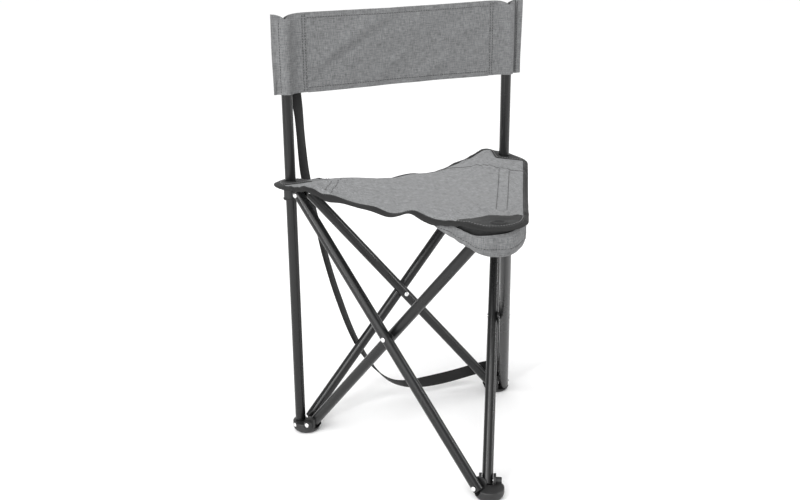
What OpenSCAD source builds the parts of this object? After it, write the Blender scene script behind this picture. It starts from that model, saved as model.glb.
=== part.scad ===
// Folding three leg camp stool with a fabric back.
// Three scissor pairs of steel tube join three moulded feet to three moulded hubs.
// The two rear posts run from their feet to the back, and the rear hubs slide on them.
// +Z is up, the front corner is towards -Y, and the origin is on the floor at the
// middle of the whole outline.

/* [Frame] */
// Distance between neighbouring corners, centre to centre
spread = 430; // [400:5:460]
// Height of the pivots in the hubs
hub_pivot_z = 475; // [455:5:495]
// Height of the pivots in the feet
foot_pivot_z = 21; // [20:0.5:23]
// Height of the bare rear posts
post_top_z = 768; // [740:2:768]
// Outside diameter of every tube
tube_d = 19; // [18.6:0.1:19.2]
// Wall of every tube
tube_wall = 1.2; // [1:0.1:1.6]
// From a corner to its pivots, along the side
pivot_inset = 27; // [26.5:0.5:28]
// From the plane between two corners to each tube's axis
lane = 10.25; // [10.25:0.05:10.5]

/* [Fasteners] */
// Diameter of the rivet shanks
rivet_d = 6; // [5:0.5:6]
// Diameter of the rivet heads
rivet_head_d = 8.8; // [8:0.2:9.4]

/* [Seat] */
// Height of the seat cloth over the hubs
seat_z = 491.5; // [491.5:0.5:494]
// How far the seat edges lie outside the lines between the corners
seat_overhang = 45; // [40:1:48]
// Radius of the seat's rounded corners
seat_corner_r = 62; // [60:1:66]
// Sag at the middle of the seat
seat_sag = 20; // [5:1:26]
// Sag of the rear edge
rear_edge_sag = 24; // [5:1:28]

/* [Back] */
// Lower edge of the back cloth
back_low_z = 648; // [640:2:660]
// Upper edge of the back cloth
back_high_z = 784; // [780:1:790]
// Width of the back cloth, with both sleeves
back_w = 484; // [480:2:490]

/* [Hidden] */
$fn = 48;

// Corners are numbered 0 rear left, 1 front, 2 rear right, anticlockwise from above.
// Side k joins corner k to the next one.
LEFT = 0;
FRONT = 1;
RIGHT = 2;

tube_r = tube_d / 2;
gap = 0.5;                       // clearance beside a tube
fit = 0.05;                      // radial play of a pin or a slide
reach = spread / sqrt(3);        // from the middle of the three corners to a corner
inradius = spread / (2 * sqrt(3));
tip = seat_corner_r - 2 * (seat_corner_r - seat_overhang);  // seat cloth past a corner
depth = reach + inradius + tip + seat_overhang;     // of the seat, the outline's widest part
centre_y = depth / 2 - seat_overhang - inradius;    // middle of the three corners
post_y = centre_y + inradius;

half_run = spread / 2 - pivot_inset;
half_rise = (hub_pivot_z - foot_pivot_z) / 2;
half_tube = sqrt(half_run * half_run + half_rise * half_rise);
lean = atan2(half_run, half_rise);      // of each tube from the vertical
tail = 6;                               // tube past its end pivots
mid_z = (hub_pivot_z + foot_pivot_z) / 2;
past = 1;                               // how far a cut runs past a face

// ---- places ----------------------------------------------------------------

// Puts its children in a corner's own frame: +X points to the middle.
module at_corner(i) {
    translate([0, centre_y, 0]) rotate(120 * i - 30) translate([-reach, 0, 0]) children();
}

// Turns +X along the side to the next or the previous corner.
module toward_next() rotate(-30) children();
module toward_previous() rotate(30) children();

// Puts its children at the start of side k, with +X along it and -Y pointing out.
module on_side(k) {
    at_corner(k) toward_next() children();
}

// Lays a cylinder that stands on Z along +Y instead.
module along_y() rotate([-90, 0, 0]) children();

// ---- tubes -----------------------------------------------------------------

// A straight hollow tube on Z from 0 to h, with cross holes at the listed heights.
module tube(h, holes) {
    difference() {
        cylinder(r = tube_r, h = h);
        translate([0, 0, -past]) cylinder(r = tube_r - tube_wall, h = h + 2 * past);
        for (z = holes)
            translate([0, -tube_d, z]) along_y() cylinder(d = rivet_d + 2 * fit, h = 2 * tube_d);
    }
}

// Puts its children at the middle of a scissor tube, with Z along the tube.
// The outer tube falls from this corner's hub, and the inner one climbs to the next hub.
module on_scissor(k, outer) {
    on_side(k)
        translate([spread / 2, outer ? -lane : lane, mid_z])
            rotate([0, outer ? -lean : lean, 0])
                children();
}

module scissor_tube(k, outer) {
    length = 2 * (half_tube + tail);
    color([0.12, 0.12, 0.13])
        on_scissor(k, outer)
            translate([0, 0, -length / 2])
                tube(length, [tail, length / 2, length - tail]);
}

// One end plug on Z: a short stem inside the tube and a low dome outside it.
module end_plug() {
    stem = 2.8;
    translate([0, 0, -stem]) cylinder(r = tube_r - tube_wall - fit, h = stem);
    rotate_extrude()
        polygon([[0, 0], [tube_r, 0], [tube_r, 0.6], [tube_r - 1, 1.5],
                 [tube_r - 3.5, 2.1], [0, 2.4]]);
}

module plugs(k, outer) {
    color([0.06, 0.06, 0.06])
        on_scissor(k, outer)
            for (turn = [0, 180])
                rotate([turn, 0, 0]) translate([0, 0, half_tube + tail]) end_plug();
}

// ---- rivets ----------------------------------------------------------------

// A low dome on Z whose flat side is at the origin.
module rivet_head() {
    r = rivet_head_d / 2;
    rotate_extrude()
        polygon([[0, 0], [r, 0], [r * 0.96, 0.7], [r * 0.78, 1.4], [r * 0.45, 1.95], [0, 2.1]]);
}

// A rivet along Y from y0 to y1, with a head on either end that asks for one.
module rivet(y0, y1, head0 = true, head1 = true) {
    translate([0, y0, 0]) along_y() cylinder(d = rivet_d, h = y1 - y0);
    if (head0) translate([0, y0, 0]) rotate([90, 0, 0]) rivet_head();
    if (head1) translate([0, y1, 0]) along_y() rivet_head();
}

tube_face = lane + tube_r + fit;       // just off a tube's outer side
tube_inside = lane - tube_r - gap;     // moulded face beside a tube's inner side

module scissor_rivet(k) {
    color("gainsboro")
        on_side(k) translate([spread / 2, 0, mid_z]) rivet(-tube_face, tube_face);
}

// A washer between a crossed pair: hollowed to sit on the inner tube, flat to the outer.
module scissor_spacer(k) {
    spacer_r = 6.6;
    hollow = 2.4;            // how far it reaches round the inner tube
    color([0.06, 0.06, 0.06])
        difference() {
            on_side(k) translate([spread / 2, 0, mid_z])
                translate([0, -(lane - tube_r - fit), 0]) along_y()
                    cylinder(r = spacer_r, h = 2 * (lane - tube_r - fit) + hollow);
            on_scissor(k, false) cylinder(r = tube_r, h = 60, center = true);
            on_side(k) translate([spread / 2, -20, mid_z]) along_y()
                cylinder(d = rivet_d, h = 40);
        }
}

// ---- feet ------------------------------------------------------------------

bowl = [11.5, 1];            // middle of the foot in its corner's frame
bowl_r = 25.8;
bowl_h = 20;
swing_r = 14;                // room for the tail of a tube that turns
ear_r = 12.5;
ear_w = 4.6;
boss_y = -14.2;              // outer face of the boss for the inner tube's rivet
boss_r = 6.5;
head_room_r = 6;             // room for a rivet head beside the boss
fixing_room_r = 5;           // room for the head of the post's rivet
ear_spread = 1.6;            // how far the ears stand past the bowl
post_floor = 4;
fixing_z = 14.5;             // rivet that holds a post in its foot
fixing_y = -15.4;

// A round bowl with a flat base and a rounded lower edge.
module bowl_solid() {
    base_r = 15.5;
    curve_h = 11;
    edge = [for (a = [0:15:90])
        [base_r + (bowl_r - base_r) * sin(a), curve_h * (1 - cos(a))]];
    translate(bowl)
        rotate_extrude($fn = 72)
            polygon(concat([[0, 0]], edge,
                [[bowl_r, bowl_h - 1.5], [bowl_r - 1.5, bowl_h], [0, bowl_h]]));
}

// A round ear on the pivot line between y0 and y1.
module ear(y0, y1, r) {
    translate([pivot_inset, y0, foot_pivot_z]) along_y() cylinder(r = r, h = y1 - y0);
}

// The space that a tube beside y0 to y1 needs while it turns up.
module swing(y0, y1) {
    translate([pivot_inset, y0, foot_pivot_z]) along_y() cylinder(r = swing_r, h = y1 - y0);
    translate([pivot_inset, y0, foot_pivot_z - swing_r + 2]) cube([60, y1 - y0, 80]);
}

module foot(i, fixed_post) {
    color([0.09, 0.09, 0.09])
        at_corner(i) difference() {
            union() {
                bowl_solid();
                intersection() {
                    union() {
                        toward_next() {
                            ear(tube_inside - ear_w, tube_inside, ear_r);
                            ear(lane + tube_r + gap, lane + tube_r + gap + ear_w, ear_r);
                            ear(boss_y, 0, boss_r);
                        }
                        toward_previous() ear(tube_inside - ear_w, tube_inside, ear_r);
                    }
                    translate(bowl) cylinder(r = bowl_r + ear_spread, h = 60);
                }
            }
            if (fixed_post)
                translate([0, 0, post_floor]) cylinder(r = tube_r, h = 60);
            toward_next() {
                swing(tube_inside, lane + tube_r + gap);
                translate([pivot_inset, -30, foot_pivot_z]) along_y()
                    cylinder(d = rivet_d, h = 80);
                translate([pivot_inset, boss_y - 20, foot_pivot_z]) along_y()
                    cylinder(r = head_room_r, h = 20);
            }
            toward_previous() {
                swing(tube_inside, 50);
                translate([pivot_inset, tube_inside - ear_w, foot_pivot_z]) along_y()
                    cylinder(d = rivet_d, h = 60);
            }
            if (fixed_post)
                toward_next() {
                    translate([0, -40, fixing_z]) along_y() cylinder(d = rivet_d, h = 52);
                    translate([0, fixing_y - 20, fixing_z]) along_y()
                        cylinder(r = fixing_room_r, h = 20);
                }
        }
}

module foot_rivets(i, fixed_post) {
    color("gainsboro")
        at_corner(i) {
            toward_next() translate([pivot_inset, 0, foot_pivot_z])
                rivet(boss_y, lane + tube_r + gap + 3, true, false);
            toward_previous() translate([pivot_inset, 0, foot_pivot_z])
                rivet(tube_inside - ear_w + 0.6, tube_face, false, true);
            if (fixed_post)
                toward_next() translate([0, 0, fixing_z]) rivet(fixing_y, 11.8, true, false);
        }
}

// ---- hubs ------------------------------------------------------------------

collar_r = 12.6;
hub_low_z = 460;
hub_high_z = 487.2;
lug_w = 4.4;
lug_r = 10.5;
lug_root = 6;                // start of a lug, inside the collar
rim = 1.2;                   // how far the lower flange stands past the collar

// A flat lug that reaches from the collar to a pivot, beside a tube at y = -lane.
module lug() {
    y0 = -tube_inside;
    translate([pivot_inset, y0, hub_pivot_z]) along_y() cylinder(r = lug_r, h = lug_w);
    translate([lug_root, y0, hub_pivot_z - lug_r])
        cube([pivot_inset - lug_root, lug_w, 2 * lug_r]);
}

module hub(i) {
    flange_h = 2.4;
    color([0.09, 0.09, 0.09])
        at_corner(i) difference() {
            union() {
                translate([0, 0, hub_low_z]) cylinder(r = collar_r, h = hub_high_z - hub_low_z);
                translate([0, 0, hub_low_z]) cylinder(r = collar_r + rim, h = flange_h);
                toward_next() lug();
                toward_previous() lug();
            }
            translate([0, 0, hub_low_z - past]) cylinder(r = tube_r + fit, h = 60);
            for (turn = [-30, 30])
                rotate(turn) translate([pivot_inset, -10, hub_pivot_z]) along_y()
                    cylinder(d = rivet_d, h = 20);
        }
}

module hub_rivets(i) {
    color("gainsboro")
        at_corner(i) {
            toward_next() translate([pivot_inset, 0, hub_pivot_z])
                rivet(-tube_face, -tube_inside + lug_w, true, false);
            toward_previous() translate([pivot_inset, 0, hub_pivot_z])
                rivet(-tube_face, -tube_inside + lug_w, true, true);
        }
}

// ---- posts -----------------------------------------------------------------

module post(i) {
    color([0.12, 0.12, 0.13])
        at_corner(i) rotate(-30) translate([0, 0, post_floor])
            difference() {
                cylinder(r = tube_r, h = post_top_z - post_floor);
                translate([0, 0, -past])
                    cylinder(r = tube_r - tube_wall, h = post_top_z - post_floor + 2 * past);
                translate([0, -tube_d, fixing_z - post_floor]) along_y()
                    cylinder(d = rivet_d, h = 2 * tube_d);
            }
}

module post_cap(i) {
    color([0.06, 0.06, 0.06])
        at_corner(i) translate([0, 0, post_top_z]) end_plug();
}

// ---- seat ------------------------------------------------------------------

SEAT_STEP = 6;
RINGS = 10;

// Angle from the nearest corner's direction, 0 to 60.
function off_corner(a) = let (m = (a + 330) % 120) min(m, 120 - m);

// Distance from the middle to the seat's edge in direction a.
function seat_edge(a) =
    let (d = reach - 2 * (seat_corner_r - seat_overhang),
         turn = atan2(seat_corner_r * sin(60), d + seat_corner_r * cos(60)),
         f = off_corner(a))
    f <= turn ? d * cos(f) + sqrt(pow(seat_corner_r, 2) - pow(d * sin(f), 2))
              : (inradius + seat_overhang) / cos(60 - f);

// Sag of each edge at its middle: right, rear and left. It fades out near the hubs.
EDGE_SAG = [10, rear_edge_sag, 4];
function edge_sag(a) =
    let (side = floor(((a + 90) % 360) / 120))
    EDGE_SAG[side] * pow((1 - cos(3 * (a + 330))) / 2, 1.5);

// Height of the cloth at share t of the way to the edge in direction a.
function seat_height(a, t) =
    seat_z - seat_sag * max(0, 1 - pow(t / 0.85, 2)) - edge_sag(a) * pow(t, 2);

function seat_point(a, t, up) =
    [seat_edge(a) * t * cos(a), centre_y + seat_edge(a) * t * sin(a), seat_height(a, t) + up];

// A closed sheet over the whole seat outline, cloth_t thick.
module seat_sheet(cloth_t) {
    n = 360 / SEAT_STEP;
    ring = function (up) [for (r = [1:RINGS], k = [0:n - 1])
        seat_point(k * SEAT_STEP, r / RINGS, up)];
    per = n * RINGS;
    points = concat(ring(0), ring(-cloth_t),
        [seat_point(0, 0, 0), seat_point(0, 0, -cloth_t)]);
    top = 2 * per;
    bottom = top + 1;
    next = function (k) (k + 1) % n;
    faces = concat(
        [for (k = [0:n - 1]) [top, next(k), k]],
        [for (k = [0:n - 1]) [bottom, per + k, per + next(k)]],
        [for (r = [0:RINGS - 2], k = [0:n - 1])
            [r * n + k, r * n + next(k), (r + 1) * n + k]],
        [for (r = [0:RINGS - 2], k = [0:n - 1])
            [r * n + next(k), (r + 1) * n + next(k), (r + 1) * n + k]],
        [for (r = [0:RINGS - 2], k = [0:n - 1])
            [per + r * n + k, per + (r + 1) * n + k, per + r * n + next(k)]],
        [for (r = [0:RINGS - 2], k = [0:n - 1])
            [per + r * n + next(k), per + (r + 1) * n + k, per + (r + 1) * n + next(k)]],
        [for (k = [0:n - 1]) [per - n + k, per - n + next(k), 2 * per - n + k]],
        [for (k = [0:n - 1])
            [per - n + next(k), 2 * per - n + next(k), 2 * per - n + k]]);
    polyhedron(points, faces, convexity = 6);
}

cloth_t = 2;
post_hole_r = tube_r + 0.9;

module seat_panel() {
    color([0.62, 0.62, 0.63])
        difference() {
            seat_sheet(cloth_t);
            for (i = [LEFT, RIGHT])
                at_corner(i) translate([0, 0, seat_z - 20]) cylinder(r = post_hole_r, h = 40);
        }
}

// Folded tape round the edge, just above the cloth.
module seat_binding() {
    n = 360 / SEAT_STEP;
    tape_w = 9;
    low = 0.3;               // faces of the tape over the cloth
    high = 1.5;
    section = [[0, low], [0, high], [-tape_w, high], [-tape_w, low]];
    points = [for (k = [0:n - 1], s = section)
        let (a = k * SEAT_STEP, t = 1 + s[0] / seat_edge(a))
        seat_point(a, t, s[1])];
    faces = [for (k = [0:n - 1], s = [0:3])
        let (k2 = (k + 1) % n, s2 = (s + 1) % 4)
        [k * 4 + s, k * 4 + s2, k2 * 4 + s2, k2 * 4 + s]];
    color([0.08, 0.08, 0.08]) polyhedron(points, faces, convexity = 6);
}

// Flat outline of the seat about the middle of the corners, drawn in by inset.
module seat_outline(inset) {
    hull()
        for (i = [0:2])
            rotate(120 * i - 30)
                translate([-(reach - 2 * (seat_corner_r - seat_overhang)), 0])
                    circle(r = seat_corner_r - inset, $fn = 60);
}

// Reinforcement over a corner, with a hole where a post passes.
module patch(i, hole) {
    patch_t = 1.2;
    patch_inset = 12.5;
    patch_r = 36;
    patch_shift = 12;        // from the corner to the middle of the patch's round side
    color([0.16, 0.16, 0.17])
        translate([0, 0, seat_z + 0.4])
            difference() {
                linear_extrude(patch_t) intersection() {
                    translate([0, centre_y]) seat_outline(patch_inset);
                    at_corner(i) translate([patch_shift, 0]) circle(r = patch_r, $fn = 60);
                }
                if (hole) at_corner(i) translate([0, 0, -past]) cylinder(r = post_hole_r, h = 5);
            }
}

// Cloth pocket that hangs round the front hub.
module front_pocket() {
    low_z = 442;
    high_z = 484;
    pocket_end = 66;
    pocket_front = 12;       // the level bottom reaches this far in front of the corner
    outer_inset = 3;
    inner_inset = 4.8;
    slope = atan2(high_z - low_z, pocket_end + pocket_front);
    color([0.55, 0.55, 0.56])
        intersection() {
            translate([0, centre_y, low_z]) linear_extrude(high_z - low_z)
                difference() {
                    seat_outline(outer_inset);
                    seat_outline(inner_inset);
                }
            at_corner(FRONT) translate([-pocket_front, -150, low_z])
                rotate([0, -slope, 0]) translate([-80, 0, 0]) cube([300, 300, 120]);
        }
}

// ---- back ------------------------------------------------------------------

sleeve_in = 38;              // sleeve past the post, towards the middle
sleeve_out = back_w / 2 - spread / 2;
sleeve_t = 2;                // cloth over the post
sleeve_room = 0.4;           // between the post and the sleeve
seam_r = 1;                  // round ends of a sleeve's flat parts
back_t = 4;

// One sleeve round its post, from flange to seam.
module back_sleeve(i) {
    side = i == LEFT ? 1 : -1;
    color([0.6, 0.6, 0.61])
        translate([(i == LEFT ? -1 : 1) * spread / 2, post_y, back_low_z])
            difference() {
                linear_extrude(back_high_z - back_low_z) hull() {
                    circle(r = tube_r + sleeve_t, $fn = 32);
                    translate([side * (sleeve_in - seam_r), 0]) circle(r = seam_r, $fn = 16);
                    translate([-side * (sleeve_out - seam_r), 0]) circle(r = seam_r, $fn = 16);
                }
                translate([0, 0, -past]) cylinder(r = tube_r + sleeve_room, h = 200);
            }
}

module back_panel() {
    half = spread / 2 - sleeve_in;
    color([0.6, 0.6, 0.61])
        translate([-half, post_y - back_t / 2, back_low_z])
            cube([2 * half, back_t, back_high_z - back_low_z]);
}

// ---- strap -----------------------------------------------------------------

// Webbing from behind the left sleeve, down behind the seat, to the rear right post.
// Each point is [x, y from the rear posts, z, turn of the width out of the XZ plane].
STRAP = [
    [-200, 15, 690, 0], [-197, 16, 668, -6], [-193, 19, 642, -20], [-187, 25, 612, -32],
    [-182, 34, 575, -36], [-176, 46, 535, -34], [-170, 54, 492, -32], [-164, 54, 457, -36],
    [-158, 48, 415, -44], [-151, 40, 380, -50], [-145, 36, 345, -50], [-136, 34, 305, -50],
    [-126, 32, 265, -50], [-114, 31, 225, -50], [-102, 31, 188, -52], [-88, 31, 152, -56],
    [-72, 31, 120, -64], [-52, 31, 88, -78], [-30, 31, 61, -98], [-4, 31, 42, -124],
    [26, 30, 32, -150], [58, 29, 29, -170], [92, 28, 29, -180], [126, 27, 31, -180],
    [160, 25, 35, -180], [188, 21, 39, -180], [202, 17, 41, -180]
];
strap_w = 25;
strap_t = 1.6;

function unit(v) = v / norm(v);
function strap_at(k) = [STRAP[k][0], STRAP[k][1] + post_y, STRAP[k][2]];
function strap_way(k) =
    unit(strap_at(min(k + 1, len(STRAP) - 1)) - strap_at(max(k - 1, 0)));
function strap_width(k) =
    let (across = unit(cross([0, 1, 0], strap_way(k))), out = cross(strap_way(k), across))
    cos(STRAP[k][3]) * across + sin(STRAP[k][3]) * out;

module carry_strap() {
    last = len(STRAP) - 1;
    points = [for (k = [0:last])
        let (w = strap_width(k) * strap_w / 2,
             t = unit(cross(strap_way(k), strap_width(k))) * strap_t / 2)
        for (c = [w + t, -w + t, -w - t, w - t]) strap_at(k) + c];
    sides = [for (k = [0:last - 1], s = [0:3])
        let (a = 4 * k + s, b = 4 * k + (s + 1) % 4)
        each [[a, a + 4, b + 4], [a, b + 4, b]]];
    ends = [[0, 1, 2, 3], [4 * last + 3, 4 * last + 2, 4 * last + 1, 4 * last]];
    color([0.07, 0.07, 0.07]) polyhedron(points, concat(sides, ends), convexity = 6);
}

// The strap's lower end, sewn round the rear right post.
module strap_lower_loop() {
    low_z = 37;
    loop_t = 1.8;
    neck = [-10, 16];        // where the strap leaves the loop
    color([0.07, 0.07, 0.07])
        translate([spread / 2, post_y, low_z])
            difference() {
                linear_extrude(strap_w) hull() {
                    circle(r = tube_r + loop_t, $fn = 32);
                    translate(neck) circle(r = 1, $fn = 16);
                }
                translate([0, 0, -past]) cylinder(r = tube_r, h = 40);
            }
}

post(LEFT);  // rear_left_post
post(RIGHT);  // rear_right_post
post_cap(LEFT);  // rear_left_post_cap
post_cap(RIGHT);  // rear_right_post_cap
foot(LEFT, true);  // rear_left_foot
foot(FRONT, false);  // front_foot
foot(RIGHT, true);  // rear_right_foot
foot_rivets(LEFT, true);  // rear_left_foot_rivets
foot_rivets(FRONT, false);  // front_foot_rivets
foot_rivets(RIGHT, true);  // rear_right_foot_rivets
hub(LEFT);  // rear_left_hub
hub(FRONT);  // front_hub
hub(RIGHT);  // rear_right_hub
hub_rivets(LEFT);  // rear_left_hub_rivets
hub_rivets(FRONT);  // front_hub_rivets
hub_rivets(RIGHT);  // rear_right_hub_rivets
scissor_tube(LEFT, true);  // left_outer_tube
scissor_tube(LEFT, false);  // left_inner_tube
scissor_tube(FRONT, true);  // right_outer_tube
scissor_tube(FRONT, false);  // right_inner_tube
scissor_tube(RIGHT, true);  // rear_outer_tube
scissor_tube(RIGHT, false);  // rear_inner_tube
plugs(LEFT, true);  // left_outer_plugs
plugs(LEFT, false);  // left_inner_plugs
plugs(FRONT, true);  // right_outer_plugs
plugs(FRONT, false);  // right_inner_plugs
plugs(RIGHT, true);  // rear_outer_plugs
plugs(RIGHT, false);  // rear_inner_plugs
scissor_rivet(LEFT);  // left_scissor_rivet
scissor_rivet(FRONT);  // right_scissor_rivet
scissor_rivet(RIGHT);  // rear_scissor_rivet
scissor_spacer(LEFT);  // left_scissor_spacer
scissor_spacer(FRONT);  // right_scissor_spacer
scissor_spacer(RIGHT);  // rear_scissor_spacer
seat_panel();
seat_binding();
patch(LEFT, true);  // rear_left_patch
patch(FRONT, false);  // front_patch
patch(RIGHT, true);  // rear_right_patch
front_pocket();
back_panel();
back_sleeve(LEFT);  // back_left_sleeve
back_sleeve(RIGHT);  // back_right_sleeve
carry_strap();
strap_lower_loop();
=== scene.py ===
"""Looks of the folding three leg stool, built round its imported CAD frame. All sizes are in metres."""
import math

import bmesh
import bpy
import numpy as np
from mathutils import Matrix, Vector


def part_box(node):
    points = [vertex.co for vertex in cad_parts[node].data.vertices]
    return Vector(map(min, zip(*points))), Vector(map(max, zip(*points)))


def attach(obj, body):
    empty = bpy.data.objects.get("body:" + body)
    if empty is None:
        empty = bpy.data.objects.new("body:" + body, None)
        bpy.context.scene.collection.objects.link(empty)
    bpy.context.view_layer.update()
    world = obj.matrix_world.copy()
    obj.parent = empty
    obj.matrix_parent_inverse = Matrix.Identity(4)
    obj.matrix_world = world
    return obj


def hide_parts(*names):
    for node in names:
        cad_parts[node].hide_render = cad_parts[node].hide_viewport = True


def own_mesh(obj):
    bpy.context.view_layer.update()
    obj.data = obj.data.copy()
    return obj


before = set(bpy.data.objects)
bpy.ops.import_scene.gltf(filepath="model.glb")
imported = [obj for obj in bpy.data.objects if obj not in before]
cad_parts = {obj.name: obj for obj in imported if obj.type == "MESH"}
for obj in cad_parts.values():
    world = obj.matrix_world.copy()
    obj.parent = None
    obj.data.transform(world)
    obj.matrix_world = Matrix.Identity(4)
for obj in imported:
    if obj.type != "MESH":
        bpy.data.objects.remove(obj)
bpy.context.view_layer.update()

MM = 0.001

# ---- camera, lights and floor ----


def add_camera():
    """A long lens, a little above the stool and left of its front corner."""
    place = Vector((-0.788, -1.602, 1.021))
    yaw, pitch, roll = (math.radians(a) for a in (23.76, 19.53, -0.47))
    data = bpy.data.cameras.new("camera")
    data.sensor_width = 36
    data.lens = 49.1
    camera = bpy.data.objects.new("camera", data)
    turn = (Matrix.Rotation(-yaw, 4, "Z") @ Matrix.Rotation(math.pi / 2 - pitch, 4, "X")
            @ Matrix.Rotation(roll, 4, "Z"))
    camera.matrix_world = Matrix.Translation(place) @ turn
    bpy.context.scene.collection.objects.link(camera)
    bpy.context.scene.camera = camera


def add_light(name, place, target, size, watts):
    data = bpy.data.lights.new(name, "AREA")
    data.shape = "RECTANGLE"
    data.size, data.size_y = size
    data.energy = watts
    light = bpy.data.objects.new(name, data)
    light.location = place
    light.rotation_euler = (Vector(target) - Vector(place)).to_track_quat("-Z", "Y").to_euler()
    bpy.context.scene.collection.objects.link(light)


def add_studio():
    world = bpy.data.worlds.new("studio")
    world.use_nodes = True
    world.node_tree.nodes["Background"].inputs["Color"].default_value = (1, 1, 1, 1)
    world.node_tree.nodes["Background"].inputs["Strength"].default_value = 0.62
    bpy.context.scene.world = world
    bpy.context.scene.view_settings.view_transform = "Standard"
    middle = (0, 0, 0.45)
    sun = bpy.data.lights.new("sun_light", "SUN")
    sun.energy = 2.3
    sun.angle = math.radians(65)
    sun_light = bpy.data.objects.new("sun_light", sun)
    sun_light.rotation_euler = (math.radians(28), math.radians(-42), 0)
    bpy.context.scene.collection.objects.link(sun_light)
    add_light("top_light", (-0.3, -0.6, 3.0), middle, (2.0, 2.0), 10)
    add_light("left_light", (-2.4, -1.0, 1.5), middle, (0.3, 2.4), 30)
    add_light("right_light", (2.4, -1.2, 1.4), middle, (0.3, 2.4), 28)
    add_light("back_light", (0.6, 2.8, 1.8), middle, (2.0, 1.2), 12)
    bpy.ops.mesh.primitive_plane_add(size=30, location=(0, 0, 0))
    floor = bpy.context.object
    floor.name = "floor"
    paper = Shader("floor")
    paper.set(Base_Color=(0.93, 0.93, 0.93, 1), Roughness=0.9)
    floor.data.materials.append(paper.material)


# ---- materials ----


class Shader:
    """A new material, with short calls for its nodes."""

    def __init__(self, name):
        self.material = bpy.data.materials.new(name)
        self.material.use_nodes = True
        self.tree = self.material.node_tree
        self.out = self.tree.nodes["Principled BSDF"]

    def set(self, **values):
        for key, value in values.items():
            self.out.inputs[key.replace("_", " ")].default_value = value

    def node(self, kind, inputs=None, **settings):
        made = self.tree.nodes.new("ShaderNode" + kind)
        for key, value in settings.items():
            setattr(made, key, value)
        for key, value in (inputs or {}).items():
            if hasattr(value, "is_output"):
                self.tree.links.new(value, made.inputs[key])
            else:
                made.inputs[key].default_value = value
        return made

    def math(self, operation, a, b):
        return self.node("Math", {0: a, 1: b}, operation=operation).outputs[0]

    def noise(self, at, scale, detail=3.0):
        return self.node("TexNoise", {"Vector": at, "Scale": scale, "Detail": detail}).outputs["Fac"]

    def stretched(self, at, scale):
        return self.node("Mapping", {"Vector": at, "Scale": scale}).outputs["Vector"]

    def ramp(self, value, stops):
        made = self.node("ValToRGB", {"Fac": value})
        points = made.color_ramp.elements
        while len(points) < len(stops):
            points.new(0.5)
        for point, (place, shade) in zip(points, stops):
            point.position = place
            point.color = (*shade, 1) if hasattr(shade, "__len__") else (shade, shade, shade, 1)
        return made.outputs["Color"]

    def wave(self, at, period, direction):
        """1 at the middle of each band and 0 between bands, along one axis."""
        scale = math.pi / 10 / period
        made = self.node("TexWave", {"Vector": at, "Scale": scale},
                         wave_type="BANDS", bands_direction=direction, wave_profile="SIN")
        return made.outputs["Fac"]

    def link(self, value, name):
        self.tree.links.new(value, self.out.inputs[name])

    def bump(self, height, strength, depth):
        made = self.node("Bump", {"Height": height, "Strength": strength, "Distance": depth})
        self.link(made.outputs["Normal"], "Normal")

    def object_place(self):
        return self.node("TexCoord").outputs["Object"]

    def cloth_place(self):
        """The flat place on the cut cloth, in metres, which each cloth mesh carries."""
        return self.node("Attribute", attribute_name="weave_at").outputs["Vector"]


def grey(value, tint=0.0):
    return (value, value * (1 + tint / 2), value * (1 + tint))


def woven(name, dark, light, thread=1.1 * MM, tint=0.03, roughness=0.85, bump=0.35):
    """Plain weave: two sets of threads, each thread with its own slubs and shade."""
    s = Shader(name)
    at = s.cloth_place()
    over_x = s.wave(at, 2 * thread, "X")
    over_y = s.wave(at, 2 * thread, "Y")
    across = s.math("SUBTRACT", s.math("MULTIPLY", over_x, 2.0), 1.0)
    along = s.math("SUBTRACT", s.math("MULTIPLY", over_y, 2.0), 1.0)
    crossing = s.math("MULTIPLY", across, along)
    warp = s.noise(s.stretched(at, (1 / (1.3 * thread), 1 / (11 * thread), 1)), 1.0, 2.0)
    weft = s.noise(s.stretched(at, (1 / (11 * thread), 1 / (1.3 * thread), 1)), 1.0, 2.0)
    on_top = s.math("GREATER_THAN", crossing, 0.0)
    yarn = s.node("Mix", {0: on_top, 2: warp, 3: weft}, data_type="FLOAT").outputs[0]
    patchy = s.noise(at, 60.0, 2.0)
    mixed = s.math("ADD", s.math("MULTIPLY", yarn, 0.9), s.math("MULTIPLY", patchy, 0.1))
    colour = s.ramp(mixed, [(0.32, grey(dark, tint)), (0.50, grey((dark + light) / 2, tint)),
                            (0.66, grey(light, tint))])
    s.link(colour, "Base Color")
    s.link(s.math("ADD", s.math("MULTIPLY", yarn, 0.15), roughness - 0.1), "Roughness")
    s.set(Sheen_Weight=0.05, Sheen_Roughness=0.5, Specular_IOR_Level=0.2)
    relief = s.math("ADD", s.math("MULTIPLY", crossing, 0.5), s.math("MULTIPLY", yarn, 0.8))
    s.bump(relief, bump, 0.25 * MM)
    return s.material


def webbing(name, shade, rib=1.7 * MM):
    """Black tape with ribs across its length."""
    s = Shader(name)
    at = s.cloth_place()
    rib_wave = s.wave(at, rib, "X")
    line_wave = s.wave(at, 1.2 * rib, "Y")
    fuzz = s.noise(s.stretched(at, (900, 900, 900)), 1.0, 3.0)
    broad = s.noise(at, 45.0, 2.0)
    relief = s.math("ADD", s.math("MULTIPLY", rib_wave, 0.6), s.math("MULTIPLY", line_wave, 0.4))
    mixed = s.math("ADD", s.math("MULTIPLY", relief, 0.45), s.math("MULTIPLY", fuzz, 0.35))
    mixed = s.math("ADD", mixed, s.math("MULTIPLY", broad, 0.2))
    s.link(s.ramp(mixed, [(0.25, grey(shade * 0.5)), (0.75, grey(shade * 1.7))]), "Base Color")
    s.link(s.math("ADD", s.math("MULTIPLY", fuzz, 0.2), 0.62), "Roughness")
    s.set(Sheen_Weight=0.04, Specular_IOR_Level=0.25)
    s.bump(s.math("ADD", relief, s.math("MULTIPLY", fuzz, 0.4)), 0.5, 0.3 * MM)
    return s.material


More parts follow.
